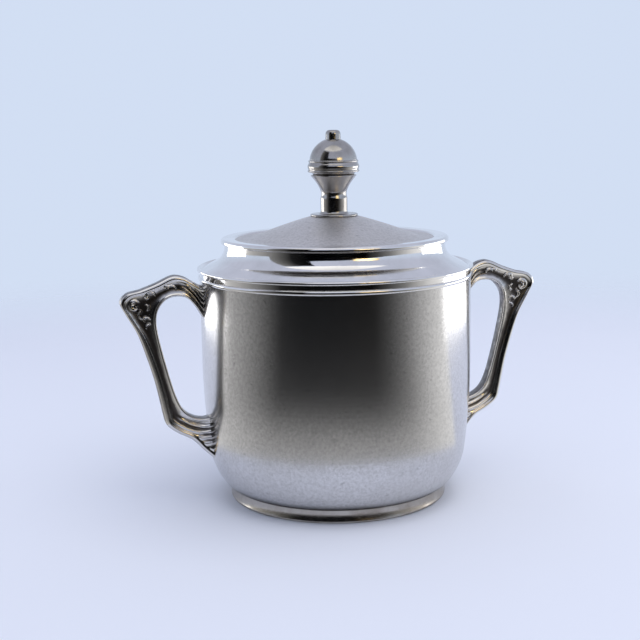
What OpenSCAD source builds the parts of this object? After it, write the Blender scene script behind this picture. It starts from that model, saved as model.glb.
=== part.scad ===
// Covered sugar bowl: a drawn round body on a low foot ring, a spun neck, two cast handles, and a
// lift-off lid with a ball finial clamped on a threaded rod. Millimetres, +Z up, the foot stands on z = 0.

/* [Body] */
// Outer diameter of the straight side
body_d = 88; // [70:1:110]
// Thickness of the body sheet
body_wall = 1.0; // [0.8:0.1:1.3]
// Height of the seam where the side meets the neck piece
seam_z = 72.7; // [58:0.1:90]
// Height at which the side begins to draw in
taper_z = 45; // [36:1:54]
// Height at which the bottom curve begins
corner_z = 16; // [14:0.5:20]
// Lean of the side where the bottom curve begins, in degrees
taper_angle = 7; // [4:0.5:10]
// Radius of the bottom curve
corner_r = 19.7; // [17:0.1:24]
// Radius that turns the bottom curve into the flat floor
floor_r = 4; // [3:0.5:6]

/* [Foot] */
// Height at which the bottom curve turns under towards the floor
under_z = 5.2; // [4.2:0.1:6.4]
// How far the foot ring flares out below the body
foot_flare = 0.6; // [0.3:0.1:1.2]
// Radius of the foot ring's standing edges
foot_edge_r = 0.6; // [0.4:0.1:0.8]
// Radial width of the foot ring under the floor
foot_width = 3.3; // [2.6:0.1:4.2]

/* [Neck] */
// Radial step from the side of the body in to the upright neck
shoulder_w = 8.2; // [6.6:0.1:9.8]
// Height of the mouth's edge above the seam
neck_h = 11.15; // [10.2:0.05:14]
// Thickness of the neck sheet
neck_wall = 1.0; // [0.8:0.1:1.2]
// Radius of the hollow curve between the neck and the shoulder
cove_r = 5.2; // [4.4:0.1:5.8]
// Slope of the shoulder, in degrees
shoulder_slope = 28; // [22:1:34]
// Height of the plain band between the seam wire and the bead above it
band_h = 1.45; // [1.1:0.05:1.9]
// Radius of the bead round the shoulder's outer edge
bead_r = 0.6; // [0.4:0.05:0.8]
// How far that bead stands out past the body
bead_stand = 0.8; // [0.5:0.05:1]
// Depth of the skirt that laps inside the body
skirt_depth = 2.5; // [2:0.5:4]
// Thickness of that skirt
skirt_wall = 0.8; // [0.6:0.1:1]
// Height of the half-round wire over the seam
seam_wire_h = 1.5; // [1.2:0.1:2]
// How far the seam wire stands out
seam_wire_stand = 0.5; // [0.3:0.1:0.8]

/* [Handles] */
// How far a handle reaches past the body
handle_reach = 26; // [20:1:32]
// Gap between a handle's upper end and the seam wire
handle_top_gap = 0.8; // [0.1:0.1:3]
// Height of a handle's lower end above the turn of the body
handle_low_gap = 9.4; // [8:0.1:12]
// Thickness of a handle over its border ridges
handle_t = 4.4; // [3.6:0.1:5.4]
// Thickness of a handle's ends where they meet the body
handle_end_t = 6.6; // [5:0.1:8]
// Width of a border ridge
ridge_w = 1.5; // [1.2:0.1:1.8]
// Depth of the channel between the ridges, on each side
channel_depth = 0.8; // [0.5:0.1:1.1]

/* [Lid] */
// Radial step from the neck in to the base of the dome
ledge_w = 8.3; // [6.6:0.1:10]
// Rise of the dome from its base to the crown
dome_h = 6.9; // [5.5:0.1:8.3]
// Bulge of the dome out of a straight cone
dome_bulge = 0.35; // [0.2:0.01:1]
// Thickness of the lid sheet
lid_wall = 0.8; // [0.6:0.1:1]
// Clearance between the lid rim and the neck, on each side
rim_clear = 0.3; // [0.2:0.05:0.5]
// Radial width of the lid rim moulding outside the neck
rim_overhang = 0.8; // [0.6:0.1:1.4]
// Radial width of the lid rim moulding on the ledge
rim_width = 4; // [3:0.1:4.5]
// Rise of the lid rim moulding above the ledge
rim_rise = 0.55; // [0.3:0.05:0.8]
// How far the lid rim hangs below the mouth's edge
rim_drop = 0.35; // [0.2:0.05:0.6]
// Depth of the locating bezel under the lid
bezel_depth = 6; // [4:0.5:8]
// Thickness of the bezel
bezel_wall = 0.9; // [0.7:0.1:1.2]
// Clearance between the bezel and the mouth, on each side
bezel_clear = 0.4; // [0.25:0.05:0.6]
// Gap between the lid and the mouth's edge
seat_gap = 0.05; // [0.02:0.01:0.1]

/* [Finial] */
// Diameter of the finial's base disc
disc_d = 15.4; // [13:0.2:18.4]
// Height of the base disc
disc_h = 1.7; // [1.4:0.1:2.1]
// Diameter of the stem
stem_d = 8.7; // [7.5:0.1:10.3]
// Height of the stem
stem_h = 4; // [3:0.1:6]
// Thickness of the stem tube
stem_wall = 0.9; // [0.7:0.1:1.2]
// Diameter of the waist above the stem
waist_d = 8.2; // [6.6:0.1:8.6]
// Height of the cup, from the stem to the ball's seat
cup_h = 6.1; // [5:0.1:7.3]
// How far the cup's rim stands up round the ball
cup_rim_h = 1.5; // [1.2:0.1:1.8]
// Thickness of the cup's rim
cup_rim_t = 0.65; // [0.5:0.05:0.8]
// Clearance between the cup's rim and the ball
cup_clear = 0.12; // [0.1:0.01:0.2]
// Diameter of the ball
ball_d = 15.4; // [12.4:0.2:18.4]
// Thickness of the ball's shells
ball_wall = 0.9; // [0.7:0.1:1.1]
// Height of the girdle
girdle_h = 3.9; // [3.4:0.1:4.6]
// How far the girdle stands out past the ball
girdle_stand = 0.65; // [0.5:0.05:0.9]
// Radius of the girdle's two beads
girdle_bead_r = 0.4; // [0.3:0.05:0.5]
// Diameter of the tip knob at its base
tip_d = 5; // [4.2:0.1:6]
// Height of the tip knob
tip_h = 3; // [2.4:0.1:3.6]

/* [Fixings] */
// Diameter of the threaded rod
rod_d = 3; // [2.4:0.1:3.6]
// Clearance of the rod in the pieces that it passes through, on each side
rod_clear = 0.15; // [0.1:0.05:0.3]
// Diameter of the washer under the crown
washer_d = 9; // [7:0.5:11]
// Thickness of the washer
washer_t = 0.8; // [0.6:0.1:1.2]
// Width of the nut across its flats
nut_af = 5.5; // [5:0.1:6.5]
// Height of the nut
nut_h = 2.4; // [2:0.1:3]
// Length of rod left below the nut
rod_tail = 1; // [0.5:0.1:2]

/* [Hidden] */

SATIN = [0.66, 0.66, 0.66];
POLISHED = [0.80, 0.80, 0.82];
CAST = [0.48, 0.47, 0.46];
BRASS = [0.72, 0.60, 0.34];

// Steps in one rounded edge, and in one long curve
edge_steps = 8;
curve_steps = 14;

// Points along an arc about centre c, from angle a0 to a1
function arc(c, r, a0, a1, n) =
    [for (i = [0:n]) let (a = a0 + (a1 - a0) * i / n) [c.x + r * cos(a), c.y + r * sin(a)]];
function reversed(list) = [for (i = [len(list) - 1:-1:0]) list[i]];

// ---- The body's curve: a straight side, a long taper, the bottom curve and a small floor curve ----
body_r = body_d / 2;
taper_r = (taper_z - corner_z) / sin(taper_angle);
taper_c = [body_r - taper_r, taper_z];
corner_c = taper_c + (taper_r - corner_r) * [cos(taper_angle), -sin(taper_angle)];
under_angle = asin((corner_c.y - under_z) / corner_r);
floor_c = corner_c + (corner_r - floor_r) * [cos(under_angle), -sin(under_angle)];
floor_z = floor_c.y - floor_r;
// The foot ring reaches this many steps up the floor curve, which leaves an undercut above it
FOOT_START = 2;
foot_turn = (90 - under_angle) * FOOT_START / edge_steps;

// Body curve from the middle of the floor to height top, moved inwards by inset
function body_curve(inset, top) = concat(
    [[0, floor_z + inset]],
    arc(floor_c, floor_r - inset, -90, -under_angle, edge_steps),
    arc(corner_c, corner_r - inset, -under_angle, -taper_angle, curve_steps),
    arc(taper_c, taper_r - inset, -taper_angle, 0, curve_steps),
    [[body_r - inset, top]]);

// ---- Heights and radii that follow from the sizes above ----
neck_r = body_r - shoulder_w;
mouth_r = neck_r - neck_wall;
mouth_z = seam_z + neck_h;

// A bead runs round the shoulder's edge, with a groove inside it, and the shoulder slopes up to the cove
// Groove's distance from the middle of the bead as a share of the bead's radius, and angle where the bead ends
GROOVE_IN = 1.65;
BEAD_END = 150;
bead_c = [body_r + bead_stand - bead_r, seam_z + seam_wire_h / 2 + band_h + bead_r];
groove = bead_c - [bead_r * GROOVE_IN, 0];
cove_x = neck_r + cove_r;
slope_rise = (groove.x - cove_x + cove_r * sin(shoulder_slope)) * tan(shoulder_slope);
cove_c = [cove_x, groove.y + slope_rise + cove_r * cos(shoulder_slope)];

lid_z = mouth_z + seat_gap;
ledge_z = lid_z + lid_wall;
crown_z = ledge_z + dome_h;
dome_r = neck_r - ledge_w;
disc_r = disc_d / 2;
rim_in_r = neck_r + rim_clear;
rim_r = rim_in_r + rim_overhang;
bezel_r = mouth_r - bezel_clear;

rim_low_z = mouth_z - rim_drop;
rim_top_z = ledge_z + rim_rise;
rim_edge_r = rim_r - rim_width - rim_overhang;

stem_r = stem_d / 2;
stem_z = crown_z + disc_h;
cup_z = stem_z + stem_h;
ball_seat_z = cup_z + cup_h;
ball_r = ball_d / 2;
// Radius of the flat on which the ball sits in the cup, as a share of the ball's radius
BALL_SEAT = 0.71;
seat_r = ball_r * BALL_SEAT;
ball_c = ball_seat_z + sqrt(ball_r * ball_r - seat_r * seat_r);
// Radius of the ball at a height
function ball_at(z) = sqrt(ball_r * ball_r - (z - ball_c) * (z - ball_c));
cup_top_z = ball_seat_z + cup_rim_h;
cup_rim_r = ball_at(cup_top_z) + cup_clear + cup_rim_t;
// Share of the girdle's height that lies above the ball's centre
GIRDLE_RISE = 0.2;
girdle_top_z = ball_c + girdle_h * GIRDLE_RISE;
girdle_low_z = girdle_top_z - girdle_h;
tip_r = tip_d / 2;
tip_z = ball_c + sqrt(ball_r * ball_r - tip_r * tip_r);
// Share of the tip knob's height that the rod fills
ROD_IN_TIP = 0.5;
rod_r = rod_d / 2;
hole_r = rod_r + rod_clear;
washer_z = crown_z - lid_wall - washer_t;
nut_z = washer_z - nut_h;
rod_top_z = tip_z + tip_h * ROD_IN_TIP;

// ---- Mouldings: small shapes given as shares of the piece that they belong to ----
// Lid rim: radii of its lower and upper edges, as shares of its height
RIM_EDGES = [0.35, 0.55];
// Lid rim: height of its inner slope, as a share of its rise
RIM_SLOPE = 0.8;
// Base disc: radius of its edge and of the fillet under the stem, as shares of its height
DISC_EDGE = 0.25;
DISC_FILLET = 0.55;
// Cup: height of the waist, and of the foot below it, as shares of the cup's height
CUP_WAIST = 0.26;
CUP_FOOT = 0.1;
// Cup: how quickly the flare opens, and the radius of the rim's edge as a share of its thickness
CUP_FLARE = 1.6;
CUP_ROUND = 0.5;
// Girdle: radius and middle height of the band between its beads, as shares of its height
GIRDLE_BAND = 0.4;
GIRDLE_MID = 0.46;
// Tip knob: radius of its rounded top, and the draw of its side, as shares of its base radius
TIP_ROUND = 0.5;
TIP_DRAW = 0.96;

// ---- Body ----
module body_shell() {
    color(SATIN)
    rotate_extrude($fn = 96)
    polygon(concat(body_curve(0, seam_z), reversed(body_curve(body_wall, seam_z))));
}

// Solid that the outside of the body encloses, to which the handles are fitted
module body_solid() {
    rotate_extrude($fn = 96)
    polygon(concat(body_curve(0, seam_z), [[0, seam_z]]));
}

module neck_collar() {
    in_r = body_r - body_wall;
    skirt_r = in_r - skirt_wall;
    bead_low = -acos((body_r - bead_c.x) / bead_r);
    sheet = neck_wall * [sin(shoulder_slope), cos(shoulder_slope)];
    outside = concat(
        [[in_r, seam_z - skirt_depth], [in_r, seam_z], [body_r, seam_z],
         [body_r, seam_z + seam_wire_h / 2]],
        arc(bead_c, bead_r, bead_low, BEAD_END, curve_steps),
        [groove],
        arc(cove_c, cove_r, 270 - shoulder_slope, 180, edge_steps),
        [[neck_r, mouth_z]]);
    inside = concat(
        [[mouth_r, mouth_z]],
        arc(cove_c, cove_r + neck_wall, 180, 270 - shoulder_slope, edge_steps),
        [groove - sheet, [skirt_r, seam_z], [skirt_r, seam_z - skirt_depth]]);
    color(POLISHED)
    rotate_extrude($fn = 96)
    polygon(concat(outside, inside));
}

// Half-round wire soldered over the seam
module seam_wire() {
    chord = seam_wire_h / 2;
    wire_r = (chord * chord + seam_wire_stand * seam_wire_stand) / (2 * seam_wire_stand);
    half = asin(chord / wire_r);
    color(POLISHED)
    rotate_extrude($fn = 96)
    polygon(arc([body_r + seam_wire_stand - wire_r, seam_z], wire_r, -half, half, edge_steps));
}

// The foot ring's top follows the floor curve, and its side flares out to a rounded edge
module foot_ring() {
    top = arc(floor_c, floor_r, -90, foot_turn - 90, FOOT_START);
    start = top[FOOT_START];
    foot_r = start.x + foot_flare;
    in_r = foot_r - foot_width;
    side = [for (i = [1:edge_steps - 1]) let (t = i / edge_steps)
        [start.x + foot_flare * t * t, start.y + (foot_edge_r - start.y) * t]];
    color(POLISHED)
    rotate_extrude($fn = 96)
    polygon(concat(
        [[in_r, floor_z]], top, side,
        arc([foot_r - foot_edge_r, foot_edge_r], foot_edge_r, 0, -90, edge_steps),
        [[in_r + foot_edge_r, 0], [in_r, foot_edge_r]]));
}

// ---- Handles ----
// Ribs from a handle's upper end to its lower end. Each is [inner out, inner up, outer out, outer up]:
// out is a share of handle_reach past the body, and up is a share of handle_h above the lower end.
HANDLE_RIBS = [
    [-0.100, 0.767, -0.100, 0.997],
    [ 0.000, 0.821,  0.023, 1.003],
    [ 0.092, 0.889,  0.123, 1.029],
    [ 0.200, 0.939,  0.238, 1.059],
    [ 0.331, 0.950,  0.369, 1.065],
    [ 0.446, 0.934,  0.554, 1.029],
    [ 0.523, 0.898,  0.754, 0.996],
    [ 0.562, 0.859,  0.923, 0.976],
    [ 0.573, 0.821,  1.000, 0.927],
    [ 0.569, 0.775,  0.931, 0.856],
    [ 0.542, 0.700,  0.800, 0.743],
    [ 0.500, 0.612,  0.704, 0.612],
    [ 0.431, 0.481,  0.619, 0.474],
    [ 0.369, 0.382,  0.565, 0.357],
    [ 0.308, 0.318,  0.531, 0.276],
    [ 0.238, 0.279,  0.492, 0.218],
    [ 0.138, 0.253,  0.362, 0.168],
    [ 0.046, 0.244,  0.185, 0.122],
    [-0.015, 0.246,  0.031, 0.050],
    [-0.115, 0.255, -0.146, -0.025]];
// Steps between two ribs
rib_steps = 3;

handle_top_z = seam_z - seam_wire_h / 2 - handle_top_gap;
handle_low_z = under_z + handle_low_gap;
handle_h = handle_top_z - handle_low_z;

// Catmull-Rom curve through four values
function spline(a, b, c, d, t) =
    0.5 * (2 * b + (c - a) * t + (2 * a - 5 * b + 4 * c - d) * t * t + (3 * b - a - 3 * c + d) * t * t * t);
function rib(i) = HANDLE_RIBS[max(0, min(len(HANDLE_RIBS) - 1, i))];
function rib_at(s) = let (i = floor(s)) spline(rib(i - 1), rib(i), rib(i + 1), rib(i + 2), s - i);

// Half of a rib's section, as [distance from the inner edge, half thickness] for a rib w wide
function half_section(w, half) = let (floor_t = half - channel_depth) [
    [0, half * 0.35], [ridge_w * 0.3, half * 0.9], [ridge_w * 0.6, half], [ridge_w * 0.85, half * 0.9],
    [ridge_w * 1.2, floor_t], [w / 2, floor_t * 1.02], [w - ridge_w * 1.2, floor_t],
    [w - ridge_w * 0.85, half * 0.9], [w - ridge_w * 0.6, half], [w - ridge_w * 0.3, half * 0.9],
    [w, half * 0.35]];

// The ring of points round rib s. A handle is thicker towards its two ends.
function ring(s) =
    let (r = rib_at(s), last = len(HANDLE_RIBS) - 1,
         near = max(0, 1 - min(s, last - s) / 3),
         half = (handle_t + (handle_end_t - handle_t) * near * near) / 2,
         a = [body_r + r[0] * handle_reach, handle_low_z + r[1] * handle_h],
         b = [body_r + r[2] * handle_reach, handle_low_z + r[3] * handle_h],
         w = norm(b - a), dir = (b - a) / w, sec = half_section(w, half),
         sides = concat([for (q = sec) [q.x, q.y]], [for (q = reversed(sec)) [q.x, -q.y]]))
    [for (q = sides) let (p = a + dir * q.x) [p.x, q.y, p.y]];

// Closed solid through a list of rings with equal numbers of points
module swept(rings) {
    n = len(rings[0]);
    last = len(rings) - 1;
    half = n / 2;
    sides = [for (i = [0:last - 1], j = [0:n - 1]) let (k = (j + 1) % n)
        each [[i * n + j, i * n + k, (i + 1) * n + k], [i * n + j, (i + 1) * n + k, (i + 1) * n + j]]];
    start = [for (j = [0:half - 2])
        each [[j, n - 1 - j, n - 2 - j], [j, n - 2 - j, j + 1]]];
    end = [for (f = start) [for (v = reversed(f)) last * n + v]];
    polyhedron(points = [for (r = rings) each r], faces = concat(sides, start, end));
}

module handle() {
    color(CAST)
    difference() {
        swept([for (i = [0:(len(HANDLE_RIBS) - 1) * rib_steps]) ring(i / rib_steps)]);
        body_solid();
    }
}

module handle_left() {
    mirror([1, 0, 0]) handle();
}

module handle_right() {
    handle();
}

// ---- Lid ----
// Outer curve of the lid from the crown to the ledge's edge, moved down and in by inset
function dome_curve(inset) =
    let (base = [dome_r, ledge_z], top = [disc_r, crown_z], chord = norm(top - base),
         big_r = (chord * chord / 4 + dome_bulge * dome_bulge) / (2 * dome_bulge),
         mid = (base + top) / 2, out = [crown_z - ledge_z, dome_r - disc_r] / chord,
         c = mid - out * (big_r - dome_bulge),
         a_top = atan2(top.y - c.y, top.x - c.x), a_base = atan2(base.y - c.y, base.x - c.x))
    arc(c, big_r - inset, a_top, a_base, curve_steps);

module lid_dome() {
    ledge_r = rim_in_r;
    color(SATIN)
    rotate_extrude($fn = 96)
    polygon(concat(
        [[hole_r, crown_z]], dome_curve(0), [[ledge_r, ledge_z], [ledge_r, lid_z]],
        [[dome_r - lid_wall, lid_z]],
        [for (p = reversed(dome_curve(lid_wall))) if (p.y > lid_z && p.y < crown_z - lid_wall) p],
        [[disc_r - lid_wall, crown_z - lid_wall], [hole_r, crown_z - lid_wall]]));
}

// Rounded moulding that caps the edge of the lid
module lid_rim() {
    low_r = (rim_top_z - rim_low_z) * RIM_EDGES[0];
    top_r = (rim_top_z - rim_low_z) * RIM_EDGES[1];
    color(POLISHED)
    rotate_extrude($fn = 96)
    polygon(concat(
        [[rim_edge_r, ledge_z], [rim_in_r, ledge_z], [rim_in_r, rim_low_z]],
        arc([rim_r - low_r, rim_low_z + low_r], low_r, -90, 0, edge_steps),
        arc([rim_r - top_r, rim_top_z - top_r], top_r, 0, 80, edge_steps),
        [[rim_edge_r + rim_rise, ledge_z + rim_rise * RIM_SLOPE]]));
}

module lid_bezel() {
    color(SATIN)
    translate([0, 0, lid_z - bezel_depth])
    difference() {
        cylinder(r = bezel_r, h = bezel_depth, $fn = 96);
        translate([0, 0, -1]) cylinder(r = bezel_r - bezel_wall, h = bezel_depth + 2, $fn = 96);
    }
}

// ---- Finial ----
// Thin disc with a rounded edge that sweeps up to the stem
module finial_base() {
    edge_r = disc_h * DISC_EDGE;
    fillet_r = disc_h * DISC_FILLET;
    color(POLISHED)
    rotate_extrude($fn = 64)
    polygon(concat(
        [[hole_r, crown_z], [disc_r - edge_r, crown_z]],
        arc([disc_r - edge_r, crown_z + edge_r], edge_r, -90, 80, edge_steps),
        arc([stem_r + fillet_r, stem_z], fillet_r, 260, 180, edge_steps),
        [[hole_r, stem_z]]));
}

module finial_stem() {
    color(POLISHED)
    translate([0, 0, stem_z])
    difference() {
        cylinder(r = stem_r, h = stem_h, $fn = 64);
        translate([0, 0, -1]) cylinder(r = stem_r - stem_wall, h = stem_h + 2, $fn = 64);
    }
}

// A short foot on the stem, a narrow waist, and a flare whose rim stands up round the ball
module finial_cup() {
    waist_r = waist_d / 2;
    waist_z = cup_z + cup_h * CUP_WAIST;
    foot_z = cup_z + cup_h * CUP_FOOT;
    round_r = cup_rim_t * CUP_ROUND;
    flare_h = cup_top_z - round_r - waist_z;
    color(POLISHED)
    rotate_extrude($fn = 64)
    polygon(concat(
        [[hole_r, cup_z], [stem_r, cup_z], [(stem_r + waist_r) / 2, foot_z]],
        [for (i = [0:curve_steps]) let (t = i / curve_steps)
            [waist_r + (cup_rim_r - waist_r) * pow(t, CUP_FLARE), waist_z + flare_h * t]],
        arc([cup_rim_r - round_r, cup_top_z - round_r], round_r, 20, 90, edge_steps),
        [[cup_rim_r - cup_rim_t, cup_top_z], [seat_r + cup_clear, ball_seat_z], [hole_r, ball_seat_z]]));
}

// Shell of the ball between two heights, open where the rod or the girdle passes
module ball_part(low_z, high_z, closed_low) {
    color(POLISHED)
    difference() {
        intersection() {
            translate([0, 0, ball_c]) sphere(r = ball_r, $fn = 64);
            translate([0, 0, low_z]) cylinder(r = ball_r + 1, h = high_z - low_z, $fn = 64);
        }
        intersection() {
            translate([0, 0, ball_c]) sphere(r = ball_r - ball_wall, $fn = 64);
            translate([0, 0, closed_low ? low_z + ball_wall : low_z - 1])
            cylinder(r = ball_r + 1, h = high_z - low_z + (closed_low ? 1 : 1 - ball_wall), $fn = 64);
        }
        translate([0, 0, low_z - 1]) cylinder(r = hole_r, h = high_z - low_z + 2, $fn = 32);
    }
}

module finial_ball_lower() {
    ball_part(ball_seat_z, girdle_low_z, true);
}

// Band round the ball: a rounded band between two beads
module finial_girdle() {
    top_r = ball_at(girdle_top_z);
    low_r = ball_at(girdle_low_z);
    band_r = girdle_h * GIRDLE_BAND;
    out_r = ball_r + girdle_stand;
    color(POLISHED)
    rotate_extrude($fn = 64)
    polygon(concat(
        [[low_r - ball_wall, girdle_low_z], [low_r, girdle_low_z]],
        arc([out_r - girdle_bead_r, girdle_low_z + girdle_bead_r], girdle_bead_r, -80, 60, edge_steps),
        arc([out_r - band_r, girdle_low_z + girdle_h * GIRDLE_MID], band_r, -25, 38, edge_steps),
        arc([top_r, girdle_top_z - girdle_bead_r], girdle_bead_r, -60, 80, edge_steps),
        [[top_r, girdle_top_z], [top_r - ball_wall, girdle_top_z]]));
}

module finial_ball_upper() {
    ball_part(girdle_top_z, tip_z, false);
}

// Knob that caps the rod and clamps the finial together
module finial_tip() {
    round_r = tip_r * TIP_ROUND;
    color(POLISHED)
    difference() {
        rotate_extrude($fn = 48)
        polygon(concat(
            [[0, tip_z], [tip_r, tip_z]],
            arc([tip_r * TIP_DRAW - round_r, tip_z + tip_h - round_r], round_r, 0, 90, edge_steps),
            [[0, tip_z + tip_h]]));
        translate([0, 0, tip_z - 1]) cylinder(r = rod_r, h = rod_top_z - tip_z + 1, $fn = 32);
    }
}

module finial_rod() {
    color(BRASS)
    translate([0, 0, nut_z - rod_tail])
    cylinder(r = rod_r, h = rod_top_z - nut_z + rod_tail, $fn = 32);
}

module finial_washer() {
    color(BRASS)
    translate([0, 0, washer_z])
    difference() {
        cylinder(r = washer_d / 2, h = washer_t, $fn = 48);
        translate([0, 0, -1]) cylinder(r = hole_r, h = washer_t + 2, $fn = 32);
    }
}

module finial_nut() {
    color(BRASS)
    translate([0, 0, nut_z])
    difference() {
        cylinder(r = nut_af / 2 / cos(30), h = nut_h, $fn = 6);
        translate([0, 0, -1]) cylinder(r = rod_r, h = nut_h + 2, $fn = 32);
    }
}

body_shell();
neck_collar();
seam_wire();
foot_ring();
handle_left();
handle_right();
lid_dome();
lid_rim();
lid_bezel();
finial_base();
finial_stem();
finial_cup();
finial_ball_lower();
finial_girdle();
finial_ball_upper();
finial_tip();
finial_rod();
finial_washer();
finial_nut();
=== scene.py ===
"""Silver sugar bowl: detailed surfaces, finish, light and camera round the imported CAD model.

Metres, +Z up, the same frame as the CAD. Profiles are written in millimetres and scaled by MM.
"""
import math

import bpy
import numpy as np
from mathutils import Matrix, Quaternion, Vector, noise


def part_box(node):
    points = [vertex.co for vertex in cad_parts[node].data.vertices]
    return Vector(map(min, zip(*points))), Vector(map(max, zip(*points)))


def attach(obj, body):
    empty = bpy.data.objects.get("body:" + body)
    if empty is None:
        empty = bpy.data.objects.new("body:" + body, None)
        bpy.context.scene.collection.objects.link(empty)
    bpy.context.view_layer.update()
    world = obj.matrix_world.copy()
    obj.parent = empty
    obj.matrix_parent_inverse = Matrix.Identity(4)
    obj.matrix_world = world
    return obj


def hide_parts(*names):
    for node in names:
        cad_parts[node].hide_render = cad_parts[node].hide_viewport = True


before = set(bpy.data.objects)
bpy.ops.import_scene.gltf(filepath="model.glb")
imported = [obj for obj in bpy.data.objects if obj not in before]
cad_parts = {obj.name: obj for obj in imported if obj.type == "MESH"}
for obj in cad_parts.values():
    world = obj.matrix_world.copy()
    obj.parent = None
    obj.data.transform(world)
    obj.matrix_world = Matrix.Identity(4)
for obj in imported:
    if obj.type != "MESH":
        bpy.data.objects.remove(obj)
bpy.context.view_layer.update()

MM = 0.001

# ------------------------------------------------------------------ camera
CAMERA_AZIMUTH = math.radians(-15.09)
CAMERA_ELEVATION = math.radians(9.755)
CAMERA_DISTANCE = 0.38286
CAMERA_AIM = Vector((-0.00496, 0.00134, 0.05747))
CAMERA_LENS = 65.51
CAMERA_ROLL = math.radians(-0.96)
CAMERA_CLIP = 0.01


def make_camera():
    data = bpy.data.cameras.new("camera")
    data.lens = CAMERA_LENS
    data.clip_start = CAMERA_CLIP
    cam = bpy.data.objects.new("camera", data)
    bpy.context.scene.collection.objects.link(cam)
    flat = math.cos(CAMERA_ELEVATION)
    back = Vector((math.sin(CAMERA_AZIMUTH) * flat,
                   -math.cos(CAMERA_AZIMUTH) * flat,
                   math.sin(CAMERA_ELEVATION)))
    cam.location = CAMERA_AIM + back * CAMERA_DISTANCE
    cam.rotation_mode = "QUATERNION"
    cam.rotation_quaternion = (-back).to_track_quat("-Z", "Y") @ Quaternion((0, 0, 1), CAMERA_ROLL)
    bpy.context.scene.camera = cam


# ------------------------------------------------------------------ node helpers
class Finish:
    """A material that is put together from short calls. Scales are in cycles per metre."""

    def __init__(self, name, metallic=1.0):
        self.mat = bpy.data.materials.new(name)
        self.mat.use_nodes = True
        self.tree = self.mat.node_tree
        self.bsdf = self.tree.nodes["Principled BSDF"]
        self.bsdf.inputs["Metallic"].default_value = metallic
        self.place = self.node("ShaderNodeTexCoord").outputs["Object"]

    def node(self, kind, inputs=None, **settings):
        made = self.tree.nodes.new(kind)
        for key, value in settings.items():
            setattr(made, key, value)
        for key, value in (inputs or {}).items():
            if isinstance(value, bpy.types.NodeSocket):
                self.tree.links.new(value, made.inputs[key])
            else:
                made.inputs[key].default_value = value
        return made

    def set(self, socket, value):
        if isinstance(value, bpy.types.NodeSocket):
            self.tree.links.new(value, self.bsdf.inputs[socket])
        else:
            self.bsdf.inputs[socket].default_value = value

    def noise(self, scale, detail=4.0, rough=0.55, where=None, distortion=0.0):
        return self.node("ShaderNodeTexNoise", {
            "Vector": where or self.place, "Scale": scale, "Detail": detail,
            "Roughness": rough, "Distortion": distortion}).outputs["Fac"]

    def stretch(self, x, y, z):
        return self.node("ShaderNodeMapping", {"Vector": self.place, "Scale": (x, y, z)}).outputs["Vector"]

    def remap(self, value, low, high, to_low=0.0, to_high=1.0):
        """Soft step from to_low, where value is low, to to_high, where it is high."""
        return self.node("ShaderNodeMapRange", {
            "Value": value, "From Min": low, "From Max": high, "To Min": to_low, "To Max": to_high,
        }, interpolation_type="SMOOTHSTEP").outputs["Result"]

    def math(self, kind, a, b):
        return self.node("ShaderNodeMath", {0: a, 1: b}, operation=kind).outputs["Value"]

    def mix(self, fac, a, b):
        """Colour a where fac is 0, and b where it is 1."""
        made = self.node("ShaderNodeMix", data_type="RGBA")
        for socket, value in ((made.inputs["Factor"], fac), (made.inputs[6], a), (made.inputs[7], b)):
            if isinstance(value, bpy.types.NodeSocket):
                self.tree.links.new(value, socket)
            else:
                socket.default_value = value if socket.name == "Factor" else (*value, 1.0)
        return made.outputs[2]

    def polar(self):
        """Distance from the object's axis, and height."""
        split = self.node("ShaderNodeSeparateXYZ", {"Vector": self.place})
        x, y, z = (split.outputs[i] for i in range(3))
        squares = self.math("ADD", self.math("MULTIPLY", x, x), self.math("MULTIPLY", y, y))
        return self.math("SQRT", squares, 0.0), z

    def turned(self):
        """Coordinates that are the same all the way round a turned piece."""
        radius, height = self.polar()
        return self.node("ShaderNodeCombineXYZ", {"X": radius, "Y": height}).outputs["Vector"]

    def bumps(self, *layers):
        """Each layer is (height, distance in metres, strength)."""
        last = None
        for height, distance, strength in layers:
            inputs = {"Height": height, "Distance": distance, "Strength": strength}
            if last:
                inputs["Normal"] = last
            last = self.node("ShaderNodeBump", inputs).outputs["Normal"]
        self.set("Normal", last)


# Heights of the bumps, in metres
LINE_BUMP = 0.00001
SCRATCH_BUMP = 0.000008
PIT_BUMP = 0.00002
DENT_BUMP = 0.0001
WAVE_BUMP = 0.0002

# Painted shade in the crease over the foot ring, in metres: heights where it is full and where it ends, how
# far patches move that edge, and the distances from the axis between which it sets in. Then the colour of
# that painted shade
CREASE = (0.0046, 0.0072)
CREASE_DRIFT = 0.0006
CREASE_OUTER = (0.0325, 0.034)
PAINTED_CREASE_SHADE = (0.05, 0.045, 0.04)
# How bright the grain and the specks are beside the dull metal, and how strongly the specks show
GRAIN_TONE = 0.8
SPECK_TONE = 0.3
SPECK_SHARE = 0.5


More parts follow.
